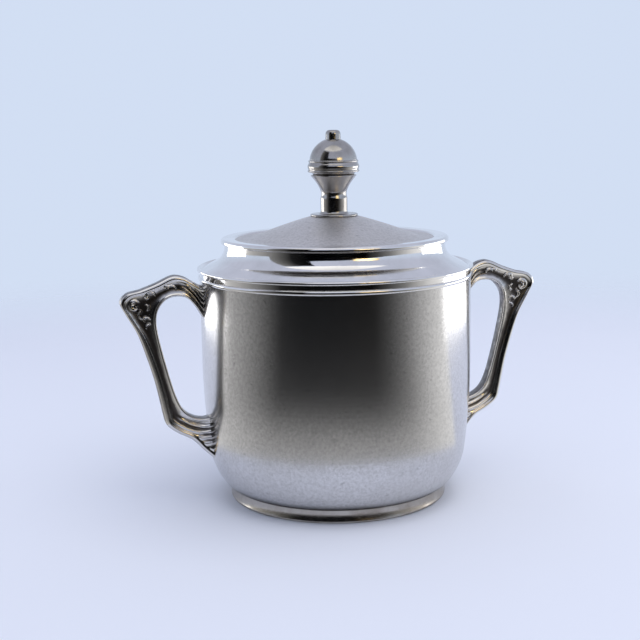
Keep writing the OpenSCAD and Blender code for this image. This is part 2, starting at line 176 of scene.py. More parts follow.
def satin_silver(name, pale, dull, rough_low, rough_high, crease=False):
    """Brushed plate with dull patches, a fine grain and dark specks. crease adds painted shade just above
    the foot ring.
    """
    f = Finish(name)
    patches = f.remap(f.noise(38.0, 5.0, 0.6), 0.3, 0.72)
    grain = f.noise(1100.0, 4.0, 0.75)
    specks = f.remap(f.noise(620.0, 4.0, 0.7), 0.6, 0.74)
    lines = f.noise(5200.0, 3.0, 0.6, f.turned())
    wear = f.mix(patches, pale, dull)
    tone = f.mix(f.remap(grain, 0.3, 0.75), wear, tuple(c * GRAIN_TONE for c in dull))
    colour = f.mix(f.math("MULTIPLY", specks, SPECK_SHARE), tone, tuple(c * SPECK_TONE for c in dull))
    if crease:
        # painted shade: darkens the body's underside in the crease just above the foot ring
        radius, height = f.polar()
        edge = f.math("ADD", height, f.math("MULTIPLY", patches, CREASE_DRIFT))
        painted_shade = f.math("MULTIPLY", f.remap(edge, *CREASE, 1.0, 0.0), f.remap(radius, *CREASE_OUTER))
        colour = f.mix(painted_shade, colour, PAINTED_CREASE_SHADE)
    f.set("Base Color", colour)
    worn = f.math("ADD", f.math("MULTIPLY", grain, 0.8), f.math("MULTIPLY", patches, 0.2))
    f.set("Roughness", f.remap(worn, 0.25, 0.75, rough_low, rough_high))
    f.bumps((lines, LINE_BUMP, 0.3), (grain, LINE_BUMP, 0.35), (f.noise(150.0, 3.0), DENT_BUMP, 0.04))
    return f.mat


def polished_silver(name, pale, dull, rough_low, rough_high, line_strength=0.35):
    """Polished plate with dull patches, fine turned lines and level scratches."""
    f = Finish(name)
    patches = f.remap(f.noise(90.0, 5.0, 0.6), 0.35, 0.7)
    lines = f.noise(4200.0, 4.0, 0.65, f.turned())
    scratches = f.remap(f.noise(700.0, 3.0, 0.6, f.stretch(1.0, 1.0, 9.0), 0.6), 0.6, 0.72)
    f.set("Base Color", f.mix(patches, pale, dull))
    worn = f.math("ADD", f.math("MULTIPLY", patches, 0.6), f.math("MULTIPLY", scratches, 0.4))
    f.set("Roughness", f.remap(worn, 0.0, 1.0, rough_low, rough_high))
    f.bumps((lines, LINE_BUMP, line_strength), (scratches, SCRATCH_BUMP, 0.3),
            (f.noise(160.0, 2.0), WAVE_BUMP, 0.08))
    return f.mat


def cast_silver(name):
    """Cast metal that is darker where the mesh's recess attribute says it lies deep."""
    f = Finish(name)
    depth = f.node("ShaderNodeAttribute", attribute_name="recess").outputs["Fac"]
    blotch = f.noise(420.0, 5.0, 0.65)
    spread = f.math("MULTIPLY", f.math("SUBTRACT", blotch, 0.5), 0.7)
    dark = f.remap(f.math("ADD", depth, spread), 0.3, 0.95)
    metal = f.mix(f.noise(160.0, 4.0), (0.84, 0.82, 0.79), (0.60, 0.58, 0.56))
    f.set("Base Color", f.mix(dark, metal, (0.11, 0.10, 0.098)))
    f.set("Roughness", f.remap(dark, 0.0, 1.0, 0.14, 0.30))
    f.bumps((f.noise(1500.0, 3.0), PIT_BUMP, 0.25), (blotch, DENT_BUMP, 0.15))
    return f.mat


def brass(name):
    """Turned brass with uneven tarnish."""
    f = Finish(name)
    f.set("Base Color", f.mix(f.noise(300.0, 4.0), (0.78, 0.60, 0.30), (0.50, 0.36, 0.17)))
    f.set("Roughness", f.remap(f.noise(900.0, 3.0), 0.3, 0.7, 0.2, 0.38))
    f.bumps((f.noise(5000.0, 3.0, 0.6, f.turned()), LINE_BUMP, 0.4))
    return f.mat


# The body's satin silver carries painted shade in the crease over the foot ring (its last argument).
SATIN = satin_silver("satin_silver", (0.72, 0.71, 0.71), (0.64, 0.63, 0.625), 0.15, 0.23, True)
SATIN_LID = satin_silver("satin_silver_lid", (0.79, 0.76, 0.75), (0.71, 0.69, 0.67), 0.42, 0.54)
POLISHED = polished_silver("polished_silver", (0.84, 0.825, 0.815), (0.74, 0.73, 0.72), 0.06, 0.14)
POLISHED_FINIAL = polished_silver("polished_silver_finial", (0.48, 0.46, 0.44), (0.30, 0.285, 0.27),
                                  0.14, 0.26, 0.2)
# The foot ring's silver is much darker than the polished silver: painted shade standing in for the dark
# reflection on the foot ring.
POLISHED_FOOT_PAINTED_DARK = polished_silver("polished_silver_foot_painted_dark", (0.50, 0.47, 0.43), (0.33, 0.295, 0.255), 0.14, 0.30)
CAST = cast_silver("cast_silver")
BRASS = brass("brass_fixings")


# ------------------------------------------------------------------ mesh helpers
def arc(cx, cz, r, a0, a1, n=16):
    """Points along an arc, in degrees."""
    turns = (math.radians(a0 + (a1 - a0) * i / n) for i in range(n + 1))
    return [(cx + r * math.cos(t), cz + r * math.sin(t)) for t in turns]


# A stretch shorter than this many times the distance of the added points from a corner gets none
SHORTEST = 5


def supported(profile, near=0.12, longest=2.5):
    """Adds points beside the corners of a closed profile and along its long stretches."""
    out = []
    for i, (r0, z0) in enumerate(profile):
        r1, z1 = profile[(i + 1) % len(profile)]
        out.append((r0, z0))
        length = math.hypot(r1 - r0, z1 - z0)
        if length < SHORTEST * near:
            continue
        steps = max(1, round(length / longest))
        marks = [near / length, *(k / steps for k in range(1, steps)), 1 - near / length]
        out += [(r0 + (r1 - r0) * t, z0 + (z1 - z0) * t) for t in marks]
    return out


# Edges that turn by more than this stay sharp, on turned pieces and on castings, in degrees
TURNED_SHARP = 35
CAST_SHARP = 60
# Points nearer to the axis than this are on it, in mm
AXIS = 1e-6


def finish_mesh(name, verts, faces, body, material, node, sharp=TURNED_SHARP):
    mesh = bpy.data.meshes.new(name)
    mesh.from_pydata(verts, [], faces)
    mesh.validate()
    mesh.shade_smooth()
    mesh.set_sharp_from_angle(angle=math.radians(sharp))
    mesh.materials.append(material)
    obj = bpy.data.objects.new(name, mesh)
    bpy.context.scene.collection.objects.link(obj)
    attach(obj, body)
    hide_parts(node)
    return obj


def lathe_faces(rings):
    """Faces between neighbouring rings of vertex numbers. A ring of one number is a point on the axis."""
    faces = []
    for i, a in enumerate(rings):
        b = rings[(i + 1) % len(rings)]
        count = max(len(a), len(b))
        if count == 1:
            continue
        for k in range(count):
            n = (k + 1) % count
            if len(a) == 1:
                faces.append((a[0], b[n], b[k]))
            elif len(b) == 1:
                faces.append((a[k], a[n], b[0]))
            else:
                faces.append((a[k], a[n], b[n], b[k]))
    return faces


def lathe(node, profile, body, material, segments=256, wobble=0.0, wobble_scale=45.0, shape=None):
    """Closed solid turned from a closed profile of (radius, height) in mm, anticlockwise in that plane.

    wobble moves the points inwards by up to that many mm, as hand work does. shape(radius, height, turn)
    returns another radius, for pieces that aren't quite round.
    """
    verts, rings = [], []
    for r, z in supported(profile):
        if r < AXIS:
            rings.append([len(verts)])
            verts.append((0.0, 0.0, z * MM))
            continue
        rings.append(range(len(verts), len(verts) + segments))
        for k in range(segments):
            turn = 2 * math.pi * k / segments
            out = shape(r, z, turn) if shape else r
            x, y = math.cos(turn), math.sin(turn)
            if wobble:
                out += wobble * (noise.noise(Vector((x * r, y * r, z)) * MM * wobble_scale) - 1) / 2
            verts.append((x * out * MM, y * out * MM, z * MM))
    return finish_mesh(node + "_fine", verts, lathe_faces(rings), body, material, node)


def reach(node):
    """Outer radius, lowest and highest point of a turned CAD node, in mm."""
    low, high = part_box(node)
    return max(high.x, high.y) / MM, low.z / MM, high.z / MM


# ------------------------------------------------------------------ body, neck and foot
# Steps round the pieces that shine most
FINE_SEGMENTS = 288
BODY_R, FLOOR_Z, SEAM_Z = reach("body_shell")
WALL = 1.0
TAPER_Z = 45.0
CORNER_Z = 16.0
TAPER_ANGLE = 7.0
CORNER_R = 19.7
FLOOR_R = 4.0
UNDER_Z = 5.2

TAPER_R = (TAPER_Z - CORNER_Z) / math.sin(math.radians(TAPER_ANGLE))
TAPER_X = BODY_R - TAPER_R
CORNER_X = TAPER_X + (TAPER_R - CORNER_R) * math.cos(math.radians(TAPER_ANGLE))
CORNER_Y = TAPER_Z - (TAPER_R - CORNER_R) * math.sin(math.radians(TAPER_ANGLE))
UNDER_ANGLE = math.degrees(math.asin((CORNER_Y - UNDER_Z) / CORNER_R))
FLOOR_X = CORNER_X + (CORNER_R - FLOOR_R) * math.cos(math.radians(UNDER_ANGLE))
FLOOR_Y = CORNER_Y - (CORNER_R - FLOOR_R) * math.sin(math.radians(UNDER_ANGLE))


def body_curve(inset, top):
    """From the middle of the floor to height top, moved inwards by inset."""
    return ([(0.0, FLOOR_Z + inset)]
            + arc(FLOOR_X, FLOOR_Y, FLOOR_R - inset, -90, -UNDER_ANGLE, 12)
            + arc(CORNER_X, CORNER_Y, CORNER_R - inset, -UNDER_ANGLE, -TAPER_ANGLE, 26)[1:]
            + arc(TAPER_X, TAPER_Z, TAPER_R - inset, -TAPER_ANGLE, 0, 18)[1:]
            + [(BODY_R - inset, top)])


def body_radius(z):
    """Outer radius of the body at height z above the foot ring."""
    if z >= TAPER_Z:
        return BODY_R
    if z >= CORNER_Z:
        return TAPER_X + math.sqrt(TAPER_R ** 2 - (TAPER_Z - z) ** 2)
    return CORNER_X + math.sqrt(CORNER_R ** 2 - (CORNER_Y - z) ** 2)


def make_body():
    profile = body_curve(0, SEAM_Z) + body_curve(WALL, SEAM_Z)[::-1]
    lathe("body_shell", profile, "bowl", SATIN, wobble=0.05)


SHOULDER_W = 8.2
NECK_R = BODY_R - SHOULDER_W
NECK_WALL = 1.0
SKIRT_WALL = 0.8
COVE_R = 5.2
SLOPE = 28.0
BEAD_R = 0.6
BEAD_STAND = 0.8
BEAD_END = 140
BAND_H = 1.45
WIRE_H = 1.5
# The groove inside the bead: its distance from the bead's middle in bead radii, the middle of its bottom
# curve from there, and that curve's radius and angles
GROOVE_IN = 1.65
GROOVE_MIDDLE = (0.02, 0.27)
GROOVE_R = 0.25
GROOVE_ANGLES = (300, 245)
# Radius of the mouth's edges
MOUTH_SOFT = 0.3


def make_neck():
    _, low, top = reach("neck_collar")
    slope = math.radians(SLOPE)
    bead_x = BODY_R + BEAD_STAND - BEAD_R
    bead_z = SEAM_Z + WIRE_H / 2 + BAND_H + BEAD_R
    bead_low = -math.degrees(math.acos((BODY_R - bead_x) / BEAD_R))
    groove_x = bead_x - BEAD_R * GROOVE_IN
    cove_x = NECK_R + COVE_R
    rise = (groove_x - cove_x + COVE_R * math.sin(slope)) * math.tan(slope)
    cove_z = bead_z + rise + COVE_R * math.cos(slope)
    in_r, skirt_r, mouth_r = BODY_R - WALL, BODY_R - WALL - SKIRT_WALL, NECK_R - NECK_WALL
    edge_z = top - MOUTH_SOFT
    outside = ([(in_r, low), (in_r, SEAM_Z), (BODY_R, SEAM_Z), (BODY_R, SEAM_Z + WIRE_H / 2)]
               + arc(bead_x, bead_z, BEAD_R, bead_low, BEAD_END, 24)
               + arc(groove_x + GROOVE_MIDDLE[0], bead_z + GROOVE_MIDDLE[1], GROOVE_R, *GROOVE_ANGLES, 5)
               + arc(cove_x, cove_z, COVE_R, 270 - SLOPE, 180, 30)
               + arc(NECK_R - MOUTH_SOFT, edge_z, MOUTH_SOFT, 0, 90, 6))
    inside = (arc(mouth_r + MOUTH_SOFT, edge_z, MOUTH_SOFT, 90, 180, 6)
              + arc(cove_x, cove_z, COVE_R + NECK_WALL, 180, 270 - SLOPE, 20)
              + [(groove_x - NECK_WALL * math.sin(slope), bead_z - NECK_WALL * math.cos(slope)),
                 (skirt_r, SEAM_Z), (skirt_r, low)])
    lathe("neck_collar", outside + inside, "bowl", POLISHED, FINE_SEGMENTS,
          wobble=0.02, wobble_scale=50.0)


def make_seam_wire():
    out_r, low, high = reach("seam_wire")
    chord, stand = (high - low) / 2, out_r - BODY_R
    wire_r = (chord ** 2 + stand ** 2) / (2 * stand)
    half = math.degrees(math.asin(chord / wire_r))
    profile = arc(out_r - wire_r, (low + high) / 2, wire_r, -half, half)
    lathe("seam_wire", profile, "bowl", POLISHED, FINE_SEGMENTS)


# Share of the floor curve that the foot ring covers
FOOT_REACH = 0.25
FOOT_FLARE = 0.6
FOOT_EDGE_R = 0.6
FOOT_WIDTH = 3.3
FOOT_STEPS = 16


def make_foot():
    top = arc(FLOOR_X, FLOOR_Y, FLOOR_R, -90, (90 - UNDER_ANGLE) * FOOT_REACH - 90, 6)
    top_r, top_z = top[-1]
    foot_r = top_r + FOOT_FLARE
    in_r = foot_r - FOOT_WIDTH
    steps = [i / FOOT_STEPS for i in range(1, FOOT_STEPS)]
    side = [(top_r + FOOT_FLARE * t ** 2, top_z + (FOOT_EDGE_R - top_z) * t) for t in steps]
    profile = ([(in_r, FLOOR_Z)] + top + side
               + arc(foot_r - FOOT_EDGE_R, FOOT_EDGE_R, FOOT_EDGE_R, 0, -90, 10)
               + arc(in_r + FOOT_EDGE_R, FOOT_EDGE_R, FOOT_EDGE_R, -90, -180, 6))
    lathe("foot_ring", profile, "bowl", POLISHED_FOOT_PAINTED_DARK)


# ------------------------------------------------------------------ lid
LID_WALL = 0.8
LEDGE_W = 8.3
DOME_R = NECK_R - LEDGE_W
DOME_BULGE = 0.35
# The fillet at the foot of the dome: steps out from the dome and up from the ledge
DOME_FILLET = [(-0.1, 0.06), (0.25, 0.02), (0.6, 0.0)]
HOLE_R = 1.65
# The rim's width over the ledge and past it, and its lower and upper edges as shares of its height
RIM_WIDTH = 4.0
RIM_OVERHANG = 0.8
RIM_LOW_EDGE = 0.35
RIM_TOP_EDGE = 0.55
# The rim's inner slope: its top stands this much further out than it is high, at this share of the rise, and
# below it are points (out, up) as shares of the rise
RIM_LIP = 0.4
RIM_SLOPE_TOP = 0.88
RIM_SLOPE = [(0.6, 0.62), (0.2, 0.3)]
BEZEL_WALL = 0.9
BEZEL_SOFT = 0.25


def dome_curve(disc_r, crown, ledge, inset, n=30):
    chord = math.hypot(DOME_R - disc_r, crown - ledge)
    big = (chord ** 2 / 4 + DOME_BULGE ** 2) / (2 * DOME_BULGE)
    out = ((crown - ledge) / chord, (DOME_R - disc_r) / chord)
    cx = (DOME_R + disc_r) / 2 - out[0] * (big - DOME_BULGE)
    cz = (ledge + crown) / 2 - out[1] * (big - DOME_BULGE)
    top = math.degrees(math.atan2(crown - cz, disc_r - cx))
    base = math.degrees(math.atan2(ledge - cz, DOME_R - cx))
    return arc(cx, cz, big - inset, top, base, n)


def make_lid():
    ledge_r, low, crown = reach("lid_dome")
    disc_r = reach("finial_base")[0]
    ledge, roof = low + LID_WALL, crown - LID_WALL
    top = dome_curve(disc_r, crown, ledge, 0)
    fillet = [(DOME_R + out, ledge + up) for out, up in DOME_FILLET]
    under = [p for p in dome_curve(disc_r, crown, ledge, LID_WALL)[::-1] if low < p[1] < roof]
    profile = ([(HOLE_R, crown)] + top[:-1] + fillet + [(ledge_r, ledge), (ledge_r, low)]
               + [(DOME_R - LID_WALL, low)] + under + [(disc_r - LID_WALL, roof), (HOLE_R, roof)])
    lathe("lid_dome", profile[::-1], "lid", SATIN_LID, wobble=0.03)
    make_rim(ledge_r, ledge)
    make_bezel()


def make_rim(ledge_r, ledge):
    rim_r, low, high = reach("lid_rim")
    low_r, top_r = (high - low) * RIM_LOW_EDGE, (high - low) * RIM_TOP_EDGE
    in_r, rise = rim_r - RIM_WIDTH - RIM_OVERHANG, high - ledge
    profile = ([(in_r, ledge), (ledge_r, ledge), (ledge_r, low)]
               + arc(rim_r - low_r, low + low_r, low_r, -90, 0, 12)
               + arc(rim_r - top_r, high - top_r, top_r, 0, 86)
               + [(in_r + rise + RIM_LIP, ledge + rise * RIM_SLOPE_TOP)]
               + [(in_r + rise * out, ledge + rise * up) for out, up in RIM_SLOPE])
    lathe("lid_rim", profile, "lid", POLISHED, FINE_SEGMENTS)


def make_bezel():
    bezel_r, low, high = reach("lid_bezel")
    inner = bezel_r - BEZEL_WALL
    profile = ([(inner, high)]
               + arc(inner + BEZEL_SOFT, low + BEZEL_SOFT, BEZEL_SOFT, 180, 270, 5)
               + arc(bezel_r - BEZEL_SOFT, low + BEZEL_SOFT, BEZEL_SOFT, -90, 0, 5)
               + [(bezel_r, high)])
    lathe("lid_bezel", profile, "lid", SATIN_LID)


# ------------------------------------------------------------------ finial
DISC_R, CROWN_Z, STEM_Z = reach("finial_base")
STEM_R, _, CUP_Z = reach("finial_stem")
BALL_LOW = reach("finial_ball_lower")[1]
GIRDLE_R, GIRDLE_LOW, GIRDLE_TOP = reach("finial_girdle")
TIP_R, TIP_Z, TIP_TOP = reach("finial_tip")
ROD_R, ROD_LOW, ROD_TOP = reach("finial_rod")
BALL_R = 7.7
# Radius of the flat on which the ball sits, as a share of the ball's radius
BALL_SEAT = 0.71
SEAT_R = BALL_R * BALL_SEAT
BALL_Z = BALL_LOW + math.sqrt(BALL_R ** 2 - SEAT_R ** 2)
# Thickness of the stem's tube and of the ball's shells
FINIAL_WALL = 0.9
# Base disc: its edge, and the fillet under the stem, as shares of its height
DISC_EDGE = 0.25
DISC_FILLET = 0.55
# Cup: radius of its waist, and heights of the waist and of two points below it as shares of the cup's height
WAIST_R = 4.1
WAIST_AT = 0.26
FOOT_AT = 0.1
NECKING_AT = 0.18
NECKING_OUT = 0.02
# Cup: height of its upright foot, how quickly the flare opens, and its rim
CUP_FOOT_H = 0.12
CUP_FLARE = 1.6
CUP_ROUND = 0.325
CUP_RIM_T = 0.65
CUP_CLEAR = 0.12
# Girdle: radius of its beads, and radius and middle height of the band as shares of its height
GIRDLE_BEAD = 0.4
GIRDLE_BAND = 0.4
GIRDLE_MID = 0.46
# Tip: its rounded top and the draw of its side, as shares of its radius
TIP_ROUND = 0.5
TIP_DRAW = 0.96
# Thread, washer and nut
PITCH = 0.5
THREAD = 0.14
STEPS_PER_TURN = 6
WASHER_SOFT = 0.15
CHAMFER_H = 0.35
CHAMFER_SLOPE = 1.7
# Radii up to this much over the rod's stay round in the nut
BORE_SLACK = 0.05


def turn_finial(node, profile, segments=160):
    lathe(node, profile, "lid", POLISHED_FINIAL, segments)


def turn_fixing(node, profile, segments=96, shape=None):
    lathe(node, profile, "lid", BRASS, segments, shape=shape)


def zone(radius, low, high, n):
    """Points up a sphere about the ball's middle, closer together at both ends."""
    shares = [0.5 - 0.5 * math.cos(math.pi * i / n) for i in range(n + 1)]
    heights = [low + (high - low) * share for share in shares]
    return [(math.sqrt(radius ** 2 - (z - BALL_Z) ** 2), z) for z in heights]


def make_finial_foot():
    disc_h = STEM_Z - CROWN_Z
    edge_r, fillet = disc_h * DISC_EDGE, disc_h * DISC_FILLET
    turn_finial("finial_base", [(HOLE_R, CROWN_Z), (DISC_R - edge_r, CROWN_Z)]
                + arc(DISC_R - edge_r, CROWN_Z + edge_r, edge_r, -90, 80, 14)
                + arc(STEM_R + fillet, STEM_Z, fillet, 260, 180, 14) + [(HOLE_R, STEM_Z)])
    bore_r = STEM_R - FINIAL_WALL
    turn_finial("finial_stem", [(bore_r, STEM_Z), (STEM_R, STEM_Z), (STEM_R, CUP_Z), (bore_r, CUP_Z)])


def make_cup():
    rim_r, _, rim_top = reach("finial_cup")
    cup_h = BALL_LOW - CUP_Z
    waist_z = CUP_Z + cup_h * WAIST_AT
    flare_h = rim_top - CUP_ROUND - waist_z
    foot = [(HOLE_R, CUP_Z), (STEM_R, CUP_Z), (STEM_R, CUP_Z + CUP_FOOT_H),
            ((STEM_R + WAIST_R) / 2, CUP_Z + cup_h * FOOT_AT),
            (WAIST_R + NECKING_OUT, CUP_Z + cup_h * NECKING_AT)]
    steps = 30
    flare = [(WAIST_R + (rim_r - WAIST_R) * (i / steps) ** CUP_FLARE, waist_z + flare_h * i / steps)
             for i in range(steps + 1)]
    rim = arc(rim_r - CUP_ROUND, rim_top - CUP_ROUND, CUP_ROUND, 20, 90, 8)
    seat = [(rim_r - CUP_RIM_T, rim_top), (SEAT_R + CUP_CLEAR, BALL_LOW), (HOLE_R, BALL_LOW)]
    turn_finial("finial_cup", foot + flare + rim + seat)


def make_ball():
    inner_r, floor_z, roof_z = BALL_R - FINIAL_WALL, BALL_LOW + FINIAL_WALL, TIP_Z - FINIAL_WALL
    turn_finial("finial_ball_lower", [(HOLE_R, BALL_LOW)] + zone(BALL_R, BALL_LOW, GIRDLE_LOW, 12)
                + zone(inner_r, floor_z, GIRDLE_LOW, 10)[::-1] + [(HOLE_R, floor_z)])
    make_girdle()
    turn_finial("finial_ball_upper", zone(BALL_R, GIRDLE_TOP, TIP_Z, 30)
                + [(HOLE_R, TIP_Z), (HOLE_R, roof_z)] + zone(inner_r, GIRDLE_TOP, roof_z, 20)[::-1])


def make_girdle():
    height = GIRDLE_TOP - GIRDLE_LOW
    band = height * GIRDLE_BAND
    top_r = math.sqrt(BALL_R ** 2 - (GIRDLE_TOP - BALL_Z) ** 2)
    low_r = math.sqrt(BALL_R ** 2 - (GIRDLE_LOW - BALL_Z) ** 2)
    turn_finial("finial_girdle", [(low_r - FINIAL_WALL, GIRDLE_LOW), (low_r, GIRDLE_LOW)]
                + arc(GIRDLE_R - GIRDLE_BEAD, GIRDLE_LOW + GIRDLE_BEAD, GIRDLE_BEAD, -80, 60, 14)
                + arc(GIRDLE_R - band, GIRDLE_LOW + height * GIRDLE_MID, band, -25, 38)
                + arc(top_r, GIRDLE_TOP - GIRDLE_BEAD, GIRDLE_BEAD, -60, 80, 14)
                + [(top_r, GIRDLE_TOP), (top_r - FINIAL_WALL, GIRDLE_TOP)], 192)


def make_tip():
    round_r = TIP_R * TIP_ROUND
    turn_finial("finial_tip", [(ROD_R, TIP_Z), (TIP_R, TIP_Z)]
                + arc(TIP_R * TIP_DRAW - round_r, TIP_TOP - round_r, round_r, 0, 90, 14)
                + [(0.0, TIP_TOP), (0.0, ROD_TOP), (ROD_R, ROD_TOP)], 96)


def threaded(r, z, turn):
    """Radius of the rod's thread at a height and an angle."""
    step = (z / PITCH - turn / (2 * math.pi)) % 1.0
    return r - THREAD * abs(2 * step - 1) if ROD_LOW < z < ROD_TOP else r


def make_rod():
    length, core_r = ROD_TOP - ROD_LOW, ROD_R - THREAD
    count = round(length / PITCH * STEPS_PER_TURN)
    side = [(ROD_R, ROD_LOW + length * i / count) for i in range(1, count)]
    turn_fixing("finial_rod", [(0.0, ROD_LOW), (core_r, ROD_LOW)] + side
                + [(core_r, ROD_TOP), (0.0, ROD_TOP)], 32, threaded)


def make_washer():
    washer_r, low, high = reach("finial_washer")
    edge_r = washer_r - WASHER_SOFT
    turn_fixing("finial_washer", [(HOLE_R, low)] + arc(edge_r, low + WASHER_SOFT, WASHER_SOFT, -90, 0, 4)
                + arc(edge_r, high - WASHER_SOFT, WASHER_SOFT, 0, 90, 4) + [(HOLE_R, high)])


def make_nut():
    low, high = (v.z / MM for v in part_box("finial_nut"))
    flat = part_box("finial_nut")[1].y / MM
    corner = flat / math.cos(math.pi / 6)

    def hexagon(r, z, turn):
        """Radius of the chamfered hexagon, or of the round bore."""
        if r <= ROD_R + BORE_SLACK:
            return r
        side_r = flat / math.cos((turn + math.pi / 6) % (math.pi / 3) - math.pi / 6)
        chamfer = corner - max(0.0, CHAMFER_H - min(z - low, high - z)) * CHAMFER_SLOPE
        return min(side_r, chamfer)

    steps = 5
    edge = [low + CHAMFER_H * k / steps for k in range(steps + 1)]
    turn_fixing("finial_nut", [(ROD_R, low)] + [(corner, z) for z in edge]
                + [(corner, high + low - z) for z in edge[::-1]] + [(ROD_R, high)], shape=hexagon)


def make_finial():
    make_finial_foot()
    make_cup()
    make_ball()
    make_tip()
    make_rod()
    make_washer()
    make_nut()


# ------------------------------------------------------------------ handles
# Ribs from the upper end to the lower end: (inner out, inner up, outer out, outer up). Out is a share of the
# handle's reach past the body, and up is a share of its height above its lower end.
RIBS = np.array([
    (-0.100, 0.767, -0.100, 0.997), (0.000, 0.821, 0.023, 1.003), (0.092, 0.889, 0.123, 1.029),
    (0.200, 0.939, 0.238, 1.059), (0.331, 0.950, 0.369, 1.065), (0.446, 0.934, 0.554, 1.029),
    (0.523, 0.898, 0.754, 0.996), (0.562, 0.859, 0.923, 0.976), (0.573, 0.821, 1.000, 0.927),
    (0.569, 0.775, 0.931, 0.856), (0.542, 0.700, 0.800, 0.743), (0.500, 0.612, 0.704, 0.612),
    (0.431, 0.481, 0.619, 0.474), (0.369, 0.382, 0.565, 0.357), (0.308, 0.318, 0.531, 0.276),
    (0.238, 0.279, 0.492, 0.218), (0.138, 0.253, 0.362, 0.168), (0.046, 0.244, 0.185, 0.122),
    (-0.015, 0.246, 0.031, 0.050), (-0.115, 0.255, -0.146, -0.025)])
LAST_RIB = len(RIBS) - 1
# The lower end's height above the turn of the body, and the gap between the upper end and the seam wire
LOW_GAP = 9.4
TOP_GAP = 0.8
HANDLE_LOW = UNDER_Z + LOW_GAP
HANDLE_H = SEAM_Z - WIRE_H / 2 - TOP_GAP - HANDLE_LOW
# Thickness over most of the handle and at its ends, and the number of ribs over which it changes
HANDLE_T = 4.4
HANDLE_END_T = 6.6
END_RIBS = 3
# Width of the inner and the outer ridge, how far a ridge's round spreads past it, and the share of the
# thickness left at its edge
RIDGE_IN = 1.2
RIDGE_OUT = 2.1
RIDGE_SPREAD = 0.12
EDGE_SHARE = 0.3
# Depth of the channel, the share of it beside the ridges, and its least width
CHANNEL = 0.9
CHANNEL_SIDE = 0.45
CHANNEL_LEAST = 0.5
# Flutes at the two ends: their pitch, and the ribs between which the upper ones fade and the lower ones grow
FLUTE_PITCH = 1.9
FLUTES_UPPER = (1.6, 4.2)
FLUTES_LOWER = (14.2, 16.4)
# How much of the channel's depth scrolls and flutes fill
SCROLL_LIFT = 0.95
FLUTE_LIFT = 0.9
# The dark line at the handle's edges: how dark it is, and where it fades
EDGE_DARK = 0.8
EDGE_FADE = (0.05, 0.35)
# Spacing of the mesh's rings in the relief and elsewhere, in mm, and the ribs between which the relief lies
RELIEF_STEP = 0.2
PLAIN_STEP = 0.42
RELIEF_RIBS = (2.6, 11.4)
# Points across the handle, the share of their even spacing, and points along it at which ribs are worked out
ACROSS = 49
EVEN = 0.6
SAMPLES = 4000
# How far the handle's ends reach into the body's sheet
SUNK = 0.25
# Scrolls in the channel at the handle's elbow: the centre's distance from the axis and its height, first and
# last radius, first and last angle in degrees, and half width. Lengths are in mm.
SCROLLS = [
    (53.9, 70.6, 1.5, 1.0, 175, 20, 0.34), (55.4, 71.3, 0.7, 0.35, 200, -60, 0.28),
    (60.6, 68.6, 1.6, 1.1, 165, -10, 0.36), (61.6, 68.8, 0.8, 0.35, -20, -290, 0.28),
    (65.4, 66.0, 1.75, 1.2, 130, -120, 0.38), (65.2, 65.6, 0.95, 0.3, 60, -260, 0.28),
    (62.9, 62.9, 1.7, 1.3, 60, -70, 0.34), (62.2, 61.2, 1.2, 0.6, 150, -40, 0.3),
    (62.3, 65.6, 1.3, 0.7, 250, 90, 0.28), (61.2, 58.7, 1.5, 1.1, 95, 0, 0.26)]
# Points along a scroll, and its taper: least share of the width, how much it swells, and where it thins out
SCROLL_POINTS = 30
SCROLL_THIN = 0.55
SCROLL_SWELL = 0.9
SCROLL_TAPER = (0.15, 0.8)


def spline(values, s):
    """Catmull-Rom curve through rows of values, at numbers s."""
    last = len(values) - 1
    i = np.clip(np.floor(s).astype(int), 0, last)
    t = (s - i)[..., None]
    a, b, c, d = (values[np.clip(i + k, 0, last)] for k in (-1, 0, 1, 2))
    bend = (2 * a - 5 * b + 4 * c - d) * t ** 2 + (3 * b - a - 3 * c + d) * t ** 3
    return 0.5 * (2 * b + (c - a) * t + bend)


def smooth(x, low, high):
    t = np.clip((x - low) / (high - low), 0, 1)
    return t * t * (3 - 2 * t)


def scroll_height(out, up):
    """How high the scrolls stand at points of the handle's plane, from 0 to 1."""
    height = np.zeros_like(out)
    for cx, cz, r0, r1, a0, a1, half in SCROLLS:
        t = np.linspace(0, 1, SCROLL_POINTS)
        turn = np.radians(a0 + (a1 - a0) * t)
        radius = r0 + (r1 - r0) * t
        px, pz = cx + radius * np.cos(turn), cz + radius * np.sin(turn)
        far = np.sqrt((out[..., None] - px) ** 2 + (up[..., None] - pz) ** 2)
        swell = np.sin(np.pi * (SCROLL_TAPER[0] + SCROLL_TAPER[1] * t[far.argmin(-1)]))
        width = half * (SCROLL_THIN + SCROLL_SWELL * swell)
        height = np.maximum(height, np.sqrt(np.clip(1 - (far.min(-1) / width) ** 2, 0, 1)))
    return height


def rib_ends(s):
    """Inner and outer end of the ribs at numbers s, as distance from the axis and height."""
    reach_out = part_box("handle_right")[1].x / MM - BODY_R
    rib = spline(RIBS, s)
    inner = np.stack([BODY_R + rib[..., 0] * reach_out, HANDLE_LOW + rib[..., 1] * HANDLE_H], -1)
    outer = np.stack([BODY_R + rib[..., 2] * reach_out, HANDLE_LOW + rib[..., 3] * HANDLE_H], -1)
    return inner, outer


